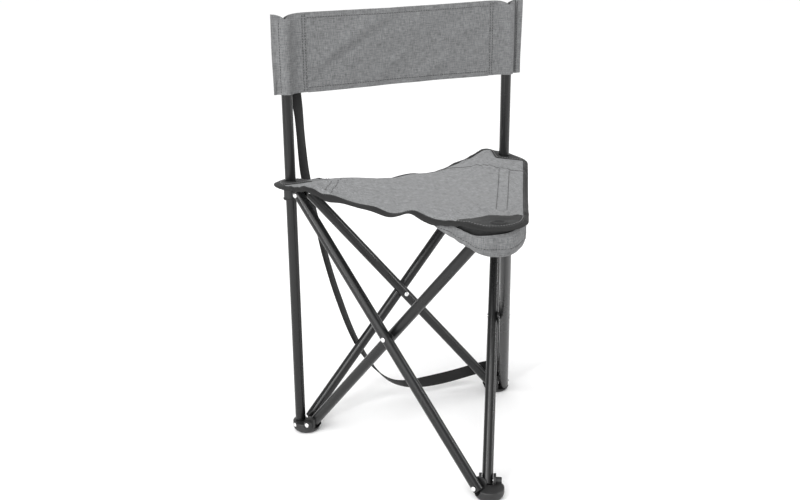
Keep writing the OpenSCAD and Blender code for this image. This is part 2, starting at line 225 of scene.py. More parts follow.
def powder_coat():
    """Satin black paint on steel: a fine orange peel, soft cloudiness and a few light scuffs."""
    s = Shader("powder_coat")
    at = s.object_place()
    peel = s.noise(at, 900.0, 2.0)
    cloud = s.noise(at, 14.0, 3.0)
    scuff = s.noise(s.stretched(at, (130, 130, 18)), 1.0, 4.0)
    worn = s.ramp(scuff, [(0.66, 0.0), (0.74, 1.0)])
    colour = s.node("Mix", {0: s.math("MULTIPLY", worn, 0.35), 6: (*grey(0.006, 0.06), 1),
                            7: (*grey(0.04, 0.03), 1)}, data_type="RGBA").outputs[2]
    s.link(colour, "Base Color")
    rough = s.math("ADD", s.math("MULTIPLY", cloud, 0.12), 0.22)
    s.link(s.math("ADD", rough, s.math("MULTIPLY", worn, 0.1)), "Roughness")
    s.set(Specular_IOR_Level=0.42)
    s.bump(peel, 0.12, 0.1 * MM)
    return s.material


def moulded_plastic():
    """Matt black nylon with a fine grain and a little dust in its hollows."""
    s = Shader("moulded_plastic")
    at = s.object_place()
    grain = s.noise(at, 1400.0, 3.0)
    cloud = s.noise(at, 40.0, 4.0)
    s.link(s.ramp(cloud, [(0.35, grey(0.007)), (0.7, grey(0.018, 0.03))]), "Base Color")
    s.link(s.math("ADD", s.math("MULTIPLY", cloud, 0.2), 0.42), "Roughness")
    s.bump(grain, 0.25, 0.12 * MM)
    return s.material


def rivet_steel():
    """Bright rivets, faintly brushed, with darker specks of handling."""
    s = Shader("rivet_steel")
    at = s.object_place()
    brushed = s.noise(s.stretched(at, (300, 300, 3000)), 1.0, 2.0)
    speck = s.noise(at, 350.0, 3.0)
    s.link(s.ramp(speck, [(0.3, grey(0.62)), (0.55, grey(0.9))]), "Base Color")
    s.link(s.math("ADD", s.math("MULTIPLY", brushed, 0.2), 0.22), "Roughness")
    s.set(Metallic=0.85)
    s.bump(brushed, 0.1, 0.05 * MM)
    return s.material


def thread_yarn(name, dark, light):
    """Sewing thread with its twist."""
    s = Shader(name)
    at = s.object_place()
    twist = s.noise(at, 2500.0, 2.0)
    s.link(s.ramp(twist, [(0.3, grey(dark)), (0.7, grey(light))]), "Base Color")
    s.set(Roughness=0.7, Sheen_Weight=0.2)
    s.bump(twist, 0.4, 0.1 * MM)
    return s.material


MATERIALS = {
    "frame": powder_coat(),
    "plastic": moulded_plastic(),
    "rivet": rivet_steel(),
    "thread": thread_yarn("dark_thread", 0.006, 0.025),
    "pale_thread": thread_yarn("pale_thread", 0.08, 0.2),
    "seat": woven("seat_cloth", 0.105, 0.285),
    "back": woven("back_cloth", 0.075, 0.21),
    "corner": woven("corner_cloth", 0.010, 0.032, thread=0.9 * MM, roughness=0.75),
    "tape": webbing("edge_tape", 0.012, rib=1.3 * MM),
    "strap": webbing("strap_webbing", 0.011),
}


def dress_cad_nodes():
    """Gives every carried-over CAD node its procedural material."""
    for name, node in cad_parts.items():
        if "rivet" in name:
            kind = "rivet"
        elif name.endswith(("_tube", "_post")):
            kind = "frame"
        else:
            kind = "plastic"
        node.data.materials.clear()
        node.data.materials.append(MATERIALS[kind])


# ---- mesh building ----


def unit(v):
    return v / np.maximum(np.linalg.norm(v, axis=-1, keepdims=True), 1e-12)


def new_object(name, points, faces, kind, weave=None, sharp_degrees=40):
    mesh = bpy.data.meshes.new(name)
    mesh.from_pydata([tuple(p) for p in points], [], faces)
    made = bmesh.new()
    made.from_mesh(mesh)
    bmesh.ops.recalc_face_normals(made, faces=made.faces)
    for face in made.faces:
        face.smooth = True
    for edge in made.edges:
        if len(edge.link_faces) == 2:
            edge.smooth = edge.calc_face_angle() < math.radians(sharp_degrees)
    made.to_mesh(mesh)
    made.free()
    if weave is not None:
        layer = mesh.attributes.new("weave_at", "FLOAT_VECTOR", "POINT")
        flat = np.zeros((len(points), 3), np.float32)
        flat[:, :2] = weave
        layer.data.foreach_set("vector", flat.ravel())
    mesh.materials.append(MATERIALS[kind])
    piece = bpy.data.objects.new(name, mesh)
    bpy.context.scene.collection.objects.link(piece)
    return piece


def grid_normals(grid, wrap=False):
    if wrap:
        du = np.roll(grid, -1, 0) - np.roll(grid, 1, 0)
    else:
        du = np.gradient(grid, axis=0)
    return unit(np.cross(du, np.gradient(grid, axis=1)))


def cloth(name, grid, thick, weave, kind, wrap=False, normals=None):
    """A closed sheet of even thickness about a grid of points. wrap joins the last row to the first."""
    n, m = grid.shape[:2]
    normal = grid_normals(grid, wrap) if normals is None else normals
    points = np.concatenate([(grid + normal * thick / 2).reshape(-1, 3),
                             (grid - normal * thick / 2).reshape(-1, 3)])
    at = np.arange(n * m).reshape(n, m)
    if wrap:
        at = np.concatenate([at, at[:1]])
    under = at + n * m
    faces = []
    for i in range(len(at) - 1):
        for j in range(m - 1):
            quad = (i, j), (i + 1, j), (i + 1, j + 1), (i, j + 1)
            faces.append(tuple(int(at[q]) for q in quad))
            faces.append(tuple(int(under[q]) for q in reversed(quad)))
        for j in (0, m - 1):
            faces.append(tuple(int(k) for k in (at[i, j], under[i, j], under[i + 1, j], at[i + 1, j])))
    if not wrap:
        for i in (0, n - 1):
            for j in range(m - 1):
                faces.append(tuple(int(k) for k in
                                   (at[i, j], at[i, j + 1], under[i, j + 1], under[i, j])))
    flat = np.concatenate([weave.reshape(-1, 2)] * 2)
    return new_object(name, points, faces, kind, flat)


def along(line):
    """Distance from the start at each point of a line."""
    return np.concatenate([[0], np.cumsum(np.linalg.norm(np.diff(line, axis=0), axis=1))])


def layered(*parts):
    """Arrays of shapes that fit each other, stacked along a new last direction."""
    return np.stack(np.broadcast_arrays(*parts), -1)


def strip(name, grid, kind):
    """A closed section, the second direction of the grid, carried along the first."""
    n, m = grid.shape[:2]
    faces = [(i * m + j, (i + 1) * m + j, (i + 1) * m + (j + 1) % m, i * m + (j + 1) % m)
             for i in range(n - 1) for j in range(m)]
    faces += [tuple(range(m)), tuple((n - 1) * m + j for j in reversed(range(m)))]
    weave = np.zeros((n, m, 2))
    weave[:, :, 0] = along(grid.mean(1))[:, None]
    weave[:, :, 1] = along(grid[n // 2])[None, :]
    return new_object(name, grid.reshape(-1, 3), faces, kind, weave.reshape(-1, 2), 55)


def sweep(name, line, side, up, section, kind):
    """A section, in side and up coordinates, carried along a line."""
    section = np.array(section, float)
    grid = (line[:, None] + side[:, None] * section[None, :, :1]
            + up[:, None] * section[None, :, 1:])
    return strip(name, grid, kind)


def smooth_step(x, low, high):
    t = np.clip((x - low) / (high - low), 0, 1)
    return t * t * (3 - 2 * t)


def hump(x, middle, width):
    return np.exp(-((x - middle) / width) ** 2)


def through(knots, x):
    """A smooth curve through (place, value) pairs."""
    place, value = np.array(knots, float).T
    slope = np.gradient(value, place)
    i = np.clip(np.searchsorted(place, x) - 1, 0, len(place) - 2)
    step = place[i + 1] - place[i]
    t = np.clip((x - place[i]) / step, 0, 1)
    return ((2 * t ** 3 - 3 * t ** 2 + 1) * value[i] + (t ** 3 - 2 * t ** 2 + t) * step * slope[i]
            + (3 * t ** 2 - 2 * t ** 3) * value[i + 1] + (t ** 3 - t ** 2) * step * slope[i + 1])


# ---- stitching ----

STITCH = 3.2 * MM
STITCH_GAP = 1.5 * MM
THREAD_R = 0.52 * MM


def stitch_row(line, normal, gap=STITCH_GAP):
    """Stitches along a line, as (middle, direction, normal) triples."""
    length = along(line)
    count = int(length[-1] // (STITCH + gap))
    places = (np.arange(count) + 0.5) * length[-1] / max(count, 1)

    def at(spots, values):
        return np.stack([np.interp(spots, length, values[:, k]) for k in range(3)], 1)

    way = at(places + MM, line) - at(places - MM, line)
    normal = at(places, normal) if normal.ndim > 1 else np.tile(normal, (count, 1))
    return list(zip(at(places, line), unit(way), unit(normal)))


def sew(name, stitches, kind="thread"):
    """One piece with every stitch: a short arched thread, thinner at its ends."""
    points, faces = [], []
    shape = [(-0.5, 0.35, -0.5), (-0.34, 1.0, 0.25), (0.34, 1.0, 0.25), (0.5, 0.35, -0.5)]
    corners = 6
    for middle, way, normal in stitches:
        side = np.cross(way, normal)
        start = len(points)
        for share, thick, lift in shape:
            centre = middle + way * share * STITCH + normal * lift * THREAD_R
            for c in range(corners):
                turn = 2 * math.pi * c / corners
                points.append(centre + (side * math.cos(turn) + normal * math.sin(turn) * 0.8)
                              * THREAD_R * thick)
        for ring in range(len(shape) - 1):
            a, b = start + ring * corners, start + (ring + 1) * corners
            faces += [(a + c, b + c, b + (c + 1) % corners, a + (c + 1) % corners)
                      for c in range(corners)]
        faces.append(tuple(start + c for c in range(corners)))
        last = start + (len(shape) - 1) * corners
        faces.append(tuple(last + c for c in reversed(range(corners))))
    return new_object(name, points, faces, kind, sharp_degrees=80)


# ---- places ----


def middle_of(node):
    low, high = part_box(node)
    return np.array((low + high) / 2)


LEFT_POST = middle_of("rear_left_post")[:2]
RIGHT_POST = middle_of("rear_right_post")[:2]
SPREAD = float(RIGHT_POST[0] - LEFT_POST[0])
POST_R = float((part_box("rear_left_post")[1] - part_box("rear_left_post")[0])[0]) / 2
CORNERS = {
    "rear_left": LEFT_POST,
    "front": (LEFT_POST + RIGHT_POST) / 2 - np.array([0, SPREAD * math.sqrt(3) / 2]),
    "rear_right": RIGHT_POST,
}
CENTRE = sum(CORNERS.values()) / 3
REACH = SPREAD / math.sqrt(3)
SEAT_Z = float(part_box("rear_left_patch")[0].z) - 0.4 * MM
OVERHANG = 45 * MM
CORNER_R = 62 * MM
ARC_BACK = 2 * (CORNER_R - OVERHANG)            # from a corner to its arc's middle
HOLE_R = POST_R + 0.9 * MM
ORDER = ("rear_left", "front", "rear_right")    # anticlockwise from above


# ---- seat shape ----


def side_places(x, y, k):
    """(distance along side k from its first corner, distance outside it)."""
    a, b = CORNERS[ORDER[k]], CORNERS[ORDER[(k + 1) % 3]]
    u = (b - a) / SPREAD
    dx, dy = x - a[0], y - a[1]
    return dx * u[0] + dy * u[1], dx * u[1] - dy * u[0]


def edge_inset(x, y):
    """Distance inside the seat's rounded outline."""
    inner = [CORNERS[c] + unit(CENTRE - CORNERS[c]) * ARC_BACK for c in ORDER]
    nearest, inside = np.full(np.shape(x), 1e9), np.ones(np.shape(x), bool)
    for k in range(3):
        a, b = inner[k], inner[(k + 1) % 3]
        length = np.linalg.norm(b - a)
        u = (b - a) / length
        s = np.clip((x - a[0]) * u[0] + (y - a[1]) * u[1], 0, length)
        nearest = np.minimum(nearest, np.hypot(x - a[0] - u[0] * s, y - a[1] - u[1] * s))
        inside &= (x - a[0]) * u[1] - (y - a[1]) * u[0] < 0
    return CORNER_R + np.where(inside, nearest, -nearest)


# Rises and sags of each side: place along the side, height and width in mm.
EDGE_WAVES = {
    "left": [(75, 6, 30), (160, -3.5, 80), (250, -7, 25), (293, 6, 18), (335, -5, 25), (395, 3, 25)],
    "right": [(215, -15, 140), (430, -8, 80)],
    "rear": [(20, 8, 20), (135, -26, 75), (175, 5, 25), (230, -4, 18), (250, -22, 90), (370, -9, 60)],
}
SIDES = ("left", "right", "rear")       # in the order of the corners they start from
HELD_UP = (1, 1, 0)     # whether a side's given height is its outer edge or the ridge inside it
WRINKLES = {"rear_left": (4.2, 3), "front": (2.4, 17), "rear_right": (2.4, 29)}
# Soft folds of the seat: x, y, direction in degrees, height, width and length in mm.
SEAT_FOLDS = [(-85, -45, -20, 3.4, 7, 45), (-22, -92, -30, 3.0, 7, 50), (-118, 28, -28, 2.4, 8, 60),
              (5, -45, -24, 1.8, 9, 60), (-60, -85, -15, -2.6, 7, 40), (-140, 70, -35, 2.0, 7, 45),
              (60, 40, -30, 1.4, 10, 70), (-30, 60, -26, 1.4, 10, 80)]
DISH = 13 * MM  # how deep the middle of the seat sags
DISH_SHARE = 0.72  # the sag's radius, as a share of the way to a corner
CONE_SLOPE = 0.02  # fall of the cloth away from each hub
CONE_REACH = 60 * MM
EDGE_REACH = 48 * MM  # how far inward a side's rises and sags fade
HOLD_REACH = 34 * MM  # how far inward a held up edge fades
SIDE_BLEND = 8 * MM  # how sharply one side's roll takes over from the next
ROLL_INSET = 13 * MM  # the cloth rolls down within this of its edge


def edge_wave(side, s):
    """Height of an outer edge over the hubs' level."""
    return sum(height * hump(s, place, width) for place, height, width in EDGE_WAVES[side]) * MM


def edge_roll(side, s):
    """How far an edge rolls down: less by the hubs and at the left edge's kink."""
    roll = 5.5 - 2.5 * (hump(s, 0, 45) + hump(s, SPREAD / MM, 45))
    if side == "left":
        roll = roll - 4.8 * hump(s, 290, 20) + 2 * hump(s, 327, 14)
    if side == "rear":
        roll = roll * (0.2 + 0.9 * smooth_step(s, 235, 275))
    return roll * MM


def fold_height(x, z, place_x, place_z, degrees, size, wide, long):
    """One long soft fold on a flat cloth."""
    dx, dz, way = x / MM - place_x, z / MM - place_z, math.radians(degrees)
    a = dx * math.cos(way) + dz * math.sin(way)
    b = dz * math.cos(way) - dx * math.sin(way)
    return size * MM * np.exp(-(a / long) ** 2 - (b / wide) ** 2)


def seat_height(x, y):
    inset = edge_inset(x, y)
    from_centre = np.hypot(x - CENTRE[0], y - CENTRE[1])
    z = SEAT_Z - DISH * np.clip(1 - (from_centre / (DISH_SHARE * REACH)) ** 2, 0, 1) ** 1.5
    cone = CONE_SLOPE * CONE_REACH
    roll_total, weight_total = 0, 0
    for k, side in enumerate(SIDES):
        s, out = side_places(x, y, k)
        s = np.clip(s, 0, SPREAD) / MM
        roll = edge_roll(side, s)
        z = z + edge_wave(side, s) * hump(out, OVERHANG, EDGE_REACH)
        z = z + HELD_UP[k] * (roll + cone) * hump(out, OVERHANG, HOLD_REACH)
        weight = np.exp(out / SIDE_BLEND)
        roll_total, weight_total = roll_total + roll * weight, weight_total + weight
    for name, (height, seed) in WRINKLES.items():
        draw = np.random.default_rng(seed)
        corner = CORNERS[name]
        r = np.hypot(x - corner[0], y - corner[1])
        turn = np.arctan2(y - corner[1], x - corner[0])
        fade = smooth_step(r, 34 * MM, 80 * MM) * np.exp(-((r - 80 * MM) / (125 * MM)) ** 2)
        fan = sum(draw.uniform(0.4, 1) * np.sin(count * turn + draw.uniform(0, 6.28))
                  for count in (13, 21, 34, 47))
        z = z + height * MM * 0.42 * fade * fan
    nearest = np.min([np.hypot(x - c[0], y - c[1]) for c in CORNERS.values()], axis=0)
    z = z - CONE_SLOPE * np.minimum(nearest, CONE_REACH)
    z = z + sum(fold_height(x, y, *fold) for fold in SEAT_FOLDS)
    draw = np.random.default_rng(5)
    for _ in range(7):
        way, phase = draw.uniform(0, 3.14), draw.uniform(0, 6.28)
        length = draw.uniform(38, 90) * MM
        swell = np.sin(2 * math.pi * (x * math.cos(way) + y * math.sin(way)) / length + phase)
        z = z + 0.35 * MM * swell * smooth_step(inset, 8 * MM, 60 * MM)
    return z - roll_total / weight_total * np.clip(1 - inset / ROLL_INSET, 0, 1) ** 2


# Angles from the way inward to the middle of a side and to where a corner's arc starts.
BEND = math.pi / 6 + math.atan2(OVERHANG, SPREAD / 2)
ARC_START = math.pi / 6 + math.atan2(OVERHANG, ARC_BACK * math.cos(math.pi / 6))
RINGS = 40


def ray_length(turn):
    """From a corner to the edge of its third of the seat, at an angle from the way inward."""
    a = np.abs(np.where(turn > math.pi, turn - 2 * math.pi, turn))
    to_middle = SPREAD / 2 / np.maximum(np.cos(a - math.pi / 6), 1e-3)
    to_side = OVERHANG / np.maximum(np.sin(a - math.pi / 6), 1e-3)
    to_arc = ARC_BACK * np.cos(a) + np.sqrt(
        np.maximum(CORNER_R ** 2 - (ARC_BACK * np.sin(a)) ** 2, 0))
    return np.where(a <= BEND, to_middle, np.where(a <= ARC_START, to_side, to_arc))


def inward(name):
    way = CENTRE - CORNERS[name]
    return math.atan2(way[1], way[0])


def seat_place(name, turn, distance):
    """Plan position at an angle and distance from a corner."""
    angle = inward(name) + turn
    return (CORNERS[name][0] + distance * np.cos(angle), CORNERS[name][1] + distance * np.sin(angle))


def side_turns(first, last):
    """Angles whose rays meet the straight seat edge at even spaces, from first to last."""
    def place(turn):
        return OVERHANG / math.tan(turn - math.pi / 6)
    count = max(3, int(abs(place(first) - place(last)) / (5 * MM)))
    spots = np.linspace(place(first), place(last), count + 1)
    return math.pi / 6 + np.arctan2(OVERHANG, spots)


def gore_turns():
    """Each gore's name, its rays' angles and a fold angle (None for the tip), which only decides whether
    its pieces go through gather.
    """
    step = math.radians(10)
    gores = []
    for i in range(-3, 3):
        turns = np.linspace(i * step, (i + 1) * step, 9)
        gores.append((f"gore_{i + 4}", turns, (i + 0.5) * step))
    near = np.linspace(math.pi / 6, BEND, 8)[:-1]
    edge = np.concatenate([near, side_turns(BEND, ARC_START)])
    gores.append(("edge_left", -edge[::-1], -math.pi / 6))
    gores.append(("edge_right", edge, math.pi / 6))
    gores.append(("tip", np.linspace(ARC_START, 2 * math.pi - ARC_START, 49), None))
    return gores


FIXED = ARC_BACK * math.cos(math.pi / 6)     # distance along a side from its corner to where the corner's arc starts


def gather(piece):
    """Gives a piece of the seat its own copy of its mesh."""
    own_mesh(piece)


def seat_grid(name, turns):
    t = np.linspace(0, 1, RINGS + 1)
    far = ray_length(turns)
    r = HOLE_R + (far[:, None] - HOLE_R) * t[None, :]
    x, y = seat_place(name, turns[:, None], r)
    return np.stack([x, y, seat_height(x, y)], -1)


def seat_normals(x, y):
    e = 0.5 * MM
    dx = (seat_height(x + e, y) - seat_height(x - e, y)) / (2 * e)
    dy = (seat_height(x, y + e) - seat_height(x, y - e)) / (2 * e)
    return unit(np.stack([-dx, -dy, np.ones_like(dx)], -1))


CLOTH_T = 1.2 * MM
TAPE_GAP = CLOTH_T / 2 + 0.9 * MM


def edge_tape(name, corner, turns):
    """The tape folded over the seat edge along one gore, and a line to sew it along."""
    turns = turns[np.abs(turns) >= BEND - 1e-6]
    far = ray_length(turns)
    x, y = seat_place(corner, turns, far)
    ahead = unit(np.gradient(np.stack([x, y], -1), axis=0))
    inner = np.stack([-ahead[:, 1], ahead[:, 0]], -1)
    probe = edge_inset(x + inner[:, 0] * 4 * MM, y + inner[:, 1] * 4 * MM)
    inner = inner * np.where(probe > 0, 1, -1)[:, None]

    def at_inset(inset, lift):
        px, py = x + inner[:, 0] * inset, y + inner[:, 1] * inset
        line = np.stack([px, py, seat_height(px, py)], -1)
        return line + seat_normals(px, py) * lift

    insets = [8.4 * MM, 6.8 * MM, 4.6 * MM, 2.4 * MM, 0.4 * MM]
    upper = [at_inset(inset, TAPE_GAP - 0.2 * MM * (inset > 8 * MM)) for inset in insets]
    nose = [at_inset(-0.7 * MM, lift) for lift in (0.9 * MM, 0, -0.9 * MM)]
    lower = [at_inset(inset, -TAPE_GAP) for inset in reversed(insets)]
    grid = np.stack(upper + nose + lower, axis=1)
    piece = strip(name, grid, "tape")
    row_x, row_y = x + inner[:, 0] * 7 * MM, y + inner[:, 1] * 7 * MM
    normal = seat_normals(row_x, row_y)
    return piece, at_inset(7 * MM, TAPE_GAP + 0.1 * MM), normal


def make_seat():
    body = {c: c + "_hub" for c in ORDER}
    first = True
    tape_stitches = {}
    for corner in ORDER:
        for part, turns, fold_turn in gore_turns():
            grid = seat_grid(corner, turns)
            x, y = grid[..., 0], grid[..., 1]
            piece = cloth(f"seat_{corner}_{part}", grid, CLOTH_T, grid[..., :2], "seat",
                          normals=seat_normals(x, y))
            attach(piece, body[corner])
            if first:
                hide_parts("seat_panel")
                first = False
            extra = []
            if not part.startswith("gore"):
                tape, row, up = edge_tape(f"tape_{corner}_{part}", corner, turns)
                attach(tape, body[corner])
                extra.append(tape)
                tape_stitches[corner, part] = stitch_row(row, up)
            if fold_turn is not None:
                gather(piece)
                for tape in extra:
                    gather(tape)
    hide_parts("seat_binding")
    return tape_stitches


def gore_at(x, y):
    """(corner, part, fold angle) of the cloth at a plan position."""
    corner = min(ORDER, key=lambda c: math.hypot(x - CORNERS[c][0], y - CORNERS[c][1]))
    turn = math.atan2(y - CORNERS[corner][1], x - CORNERS[corner][0]) - inward(corner)
    turn = (turn + math.pi) % (2 * math.pi) - math.pi
    for part, turns, fold_turn in gore_turns():
        for shift in (0, 2 * math.pi):
            if turns.min() - 1e-9 <= turn + shift <= turns.max() + 1e-9:
                return corner, part, fold_turn
    return corner, "tip", None


def seat_row(plan, gap=STITCH_GAP):
    """Stitches on the seat along a smooth line through plan positions."""
    plan = np.array(plan)
    knots = along(plan)
    fine = np.linspace(0, knots[-1], 70)
    x, y = (through(np.column_stack([knots, plan[:, k]]), fine) for k in (0, 1))
    normal = seat_normals(x, y)
    line = np.stack([x, y, seat_height(x, y)], -1)
    return stitch_row(line + normal * (CLOTH_T / 2 + 0.3 * MM), normal, gap)


def corner_chord(corner, inset, first, last):
    """Ends of a line across a corner, inset along the way inward, between two sideways places."""
    way = unit(CENTRE - CORNERS[corner])
    side = np.array([-way[1], way[0]])
    middle = CORNERS[corner] + way * inset
    return middle + side * first, middle + side * last


def side_row(k, out, first, last):
    a, b = CORNERS[ORDER[k]], CORNERS[ORDER[(k + 1) % 3]]
    u = (b - a) / SPREAD
    n = np.array([u[1], -u[0]])
    return a + u * first + n * out, a + u * last + n * out


# The seam across the rear right corner and on to the rear edge, in mm from the corner's post.
SEAM = [(-165, -14), (-105, -28), (-65, -45), (-40, -78), (-20, -112)]


def sew_seat(tape_stitches):
    """Rows over the hidden side webbing and across the corners, and along the edge tape."""
    rows = [
        corner_chord("rear_left", 72 * MM, -72 * MM, 8 * MM),
        corner_chord("rear_left", 84 * MM, -82 * MM, 66 * MM),
        side_row(1, -7 * MM, 82 * MM, 343 * MM),
        side_row(1, 11 * MM, 80 * MM, 330 * MM),
    ]
    sewn = [stitch for row in rows for stitch in seat_row(row)]
    sewn += seat_row(CORNERS["rear_right"] + np.array(SEAM) * MM, gap=0.3 * MM)
    groups = {key: list(stitches) for key, stitches in tape_stitches.items()}
    for stitch in sewn:
        corner, part, _ = gore_at(stitch[0][0], stitch[0][1])
        groups.setdefault((corner, part), []).append(stitch)
    folds = {part: fold_turn for part, _, fold_turn in gore_turns()}
    for (corner, part), stitches in groups.items():
        piece = sew(f"stitches_{corner}_{part}", stitches)
        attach(piece, corner + "_hub")
        if folds[part] is not None:
            gather(piece)


# ---- corner patches and pocket ----

# The inner edges of each corner patch: direction in degrees and distance from the corner in mm.
PATCH_EDGES = {
    "rear_left": [(-70, 22), (10, 37)],
    "front": [(105, 46), (65, 46)],
    "rear_right": [(165, 20), (-120, 20)],
}
PATCH_T = 1.3 * MM
# The ring that a hub's collar presses up: radius, width and height in mm.
POST_RING = (12.4, 2, 1.2)
FRONT_RING = (10.5, 2.8, 2.6)


def patch_length(corner, turns, margin):
    """From a corner to its patch's edge, drawn in by a margin."""
    a = (turns + math.pi) % (2 * math.pi) - math.pi
    beside = OVERHANG / np.maximum(np.sin(np.abs(a) - math.pi / 6), 1e-2)
    round_end = ARC_BACK * np.cos(a) + np.sqrt(CORNER_R ** 2 - (ARC_BACK * np.sin(a)) ** 2)
    ends = [np.where(np.abs(a) > ARC_START, round_end, beside) - 8.5 * MM]
    for degrees, far in PATCH_EDGES[corner]:
        ends.append(far * MM / np.maximum(np.cos(inward(corner) + a - math.radians(degrees)), 0.02))
    sharp = 14.0
    return sum((end - margin) ** -sharp for end in ends) ** (-1 / sharp)


def make_patch(corner):
    """Dark cloth over a hub, pressed up into a ring by the hub's collar."""
    has_post = corner != "front"
    turns = np.linspace(0, 2 * math.pi, 97)[:-1]
    start = HOLE_R if has_post else 0.6 * MM
    t = np.linspace(0, 1, 30)
    far = patch_length(corner, turns, 0)
    r = start + (far[:, None] - start) * t[None, :]
    x, y = seat_place(corner, turns[:, None], r)
    radius, width, height = POST_RING if has_post else FRONT_RING
    ring = hump(r, radius * MM, width * MM) * height * MM
    ring = ring + 0.5 * MM * np.sin(3 * turns + 1)[:, None] * hump(r, 24 * MM, 6 * MM)
    edge_dip = 0.5 * MM * smooth_step(t, 0.93, 1.0)[None, :]
    z = seat_height(x, y) + CLOTH_T / 2 + PATCH_T / 2 + ring - edge_dip
    grid = np.stack([x, y, z], -1)
    piece = cloth(f"patch_{corner}", grid[::-1], PATCH_T, grid[::-1, :, :2], "corner", wrap=True)
    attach(piece, corner + "_hub")
    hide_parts(f"{corner}_patch")
    line_turns = np.linspace(0, 2 * math.pi, 160)
    near = patch_length(corner, line_turns, 3.5 * MM)
    x, y = seat_place(corner, line_turns, near)
    line = np.stack([x, y, seat_height(x, y) + CLOTH_T / 2 + PATCH_T + 0.2 * MM], -1)
    sewn = sew(f"stitches_{corner}_patch", stitch_row(line, seat_normals(x, y)),
               "pale_thread")
    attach(sewn, corner + "_hub")


def outline_line(corner, first, last, inset, step=3 * MM):
    """Plan points along the seat's outline round a corner, drawn in by inset.
    first and last are distances along the two sides from the corner."""
    way = inward(corner)
    u1 = np.array([math.cos(way - math.pi / 6), math.sin(way - math.pi / 6)])
    u2 = np.array([math.cos(way + math.pi / 6), math.sin(way + math.pi / 6)])
    n1, n2 = np.array([u1[1], -u1[0]]), np.array([-u2[1], u2[0]])
    here = CORNERS[corner]
    off = OVERHANG - inset
    points = [here + u1 * s + n1 * off for s in np.arange(first, FIXED, -step)]
    arc = here + np.array([math.cos(way), math.sin(way)]) * ARC_BACK
    start = math.atan2(n1[1], n1[0])
    sweep_angle = -2 * math.pi / 3
    count = int(CORNER_R * 2.1 / step)
    for i in range(count + 1):
        turn = start + sweep_angle * i / count
        points.append(arc + (CORNER_R - inset) * np.array([math.cos(turn), math.sin(turn)]))
    points += [here + u2 * s + n2 * off for s in np.arange(FIXED + step, last, step)]
    return np.array(points)


POCKET_DEEPEST = 0.62        # share of the pocket's length, from its left end


def pocket_depth(f):
    """The pocket slopes down from its left end and is rounder at its right one."""
    left = f < POCKET_DEEPEST
    away = np.where(left, 1 - f / POCKET_DEEPEST, (f - POCKET_DEEPEST) / (1 - POCKET_DEEPEST))
    return (3 + 45.5 * (1 - away ** np.where(left, 2.8, 4))) * MM


def pocket_mouth(f):
    """How far the pocket's mouth hangs open below the seat."""
    return (13 * hump(f, 0.32, 0.13) + 6 * hump(f, 0.54, 0.15)) * MM


def make_pocket():
    """The pouch under the front corner, its soft rolled lower edge, and a dark strip in its mouth: inner
    cloth that is also painted shade of the gap under the seat's edge.
    """
    plan = outline_line("front", 76 * MM, 106 * MM, 4 * MM)
    place = along(plan)
    f = 1 - place / place[-1]
    ahead = unit(np.gradient(plan, axis=0))
    inner = np.stack([-ahead[:, 1], ahead[:, 0]], -1)
    probe = edge_inset(*(plan + inner * 5 * MM).T) > edge_inset(*plan.T)
    inner = inner * np.where(probe, 1, -1)[:, None]
    drop = pocket_depth(f)
    mouth = pocket_mouth(f)
    v = np.linspace(0, 1, 30)
    curl = np.minimum(13 * MM, 0.45 * drop)
    bend = 0.68
    turn = np.clip((v - bend) / (1 - bend), 0, 1) * math.pi * 0.6
    straight = np.minimum(v / bend, 1)
    down = straight[None, :] * (drop - curl)[:, None] + curl[:, None] * np.sin(turn)[None, :]
    down = down + mouth[:, None] * (1 - v)[None, :]
    back = curl[:, None] * (1 - np.cos(turn))[None, :] + 5 * MM * (v ** 2)[None, :]
    draw = np.random.default_rng(41)
    swell = np.sin(math.pi * np.clip(v * 1.1, 0, 1))[None, :]
    folds = sum(draw.uniform(0.5, 1) * np.sin(c * math.pi * f + draw.uniform(0, 6.28))
                for c in (5, 9, 14))
    crease = 3.4 * hump(f, 0.50, 0.035) - 3.2 * hump(f, 0.585, 0.03) + 3.0 * hump(f, 0.73, 0.04)
    crease = crease + 1.8 * hump(f, 0.3, 0.05)
    shift = back + ((folds * 0.8 + crease)[:, None] - 3.0) * MM * swell + 2 * MM
    x, y = (plan[:, k][:, None] + inner[:, k][:, None] * shift for k in (0, 1))
    top = seat_height(*(plan + inner * 6 * MM).T) - 2.4 * MM
    grid = np.stack([x, y, top[:, None] - down], -1)
    weave = layered(place[:, None], -down)
    piece = cloth("front_pocket_cloth", grid, 1.1 * MM, weave, "back")
    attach(piece, "front_hub")
    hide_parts("front_pocket")
    out = -np.column_stack([inner, np.zeros(len(inner))])
    hem = grid[:, 16] + out * 0.8 * MM
    sewn = sew("stitches_front_pocket", stitch_row(hem[4:-4], out[4:-4]))
    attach(sewn, "front_hub")
    # A dark strip of the black corner cloth set just inside the pocket's mouth: partly the pocket's
    # inner cloth, partly painted shade of the gap under the seat's edge.
    keep = (f > 0.13) & (f < 0.8)
    v = np.linspace(0, 1, 8)
    set_in = (3.4 * MM + 4.5 * MM * v)[None, :]
    x, y = (plan[keep, k][:, None] + inner[keep, k][:, None] * set_in for k in (0, 1))
    grid = np.stack([x, y, top[keep][:, None] - 1 * MM - 15 * MM * v[None, :]], -1)
    weave = layered(place[keep][:, None], grid[..., 2])
    lining_and_shade = cloth("front_pocket_lining_and_shade", grid, 0.9 * MM, weave, "corner")
    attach(lining_and_shade, "front_hub")


# ---- back ----

BACK_LOW = float(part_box("back_panel")[0].z)
BACK_HIGH = float(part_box("back_panel")[1].z)
SEAM_X = float(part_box("back_panel")[1].x)
BACK_END = float(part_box("back_right_sleeve")[1].x)
POST_Y = float(LEFT_POST[1])
CLOSING_Z = 0.764           # from here up each sleeve flattens over its post's end


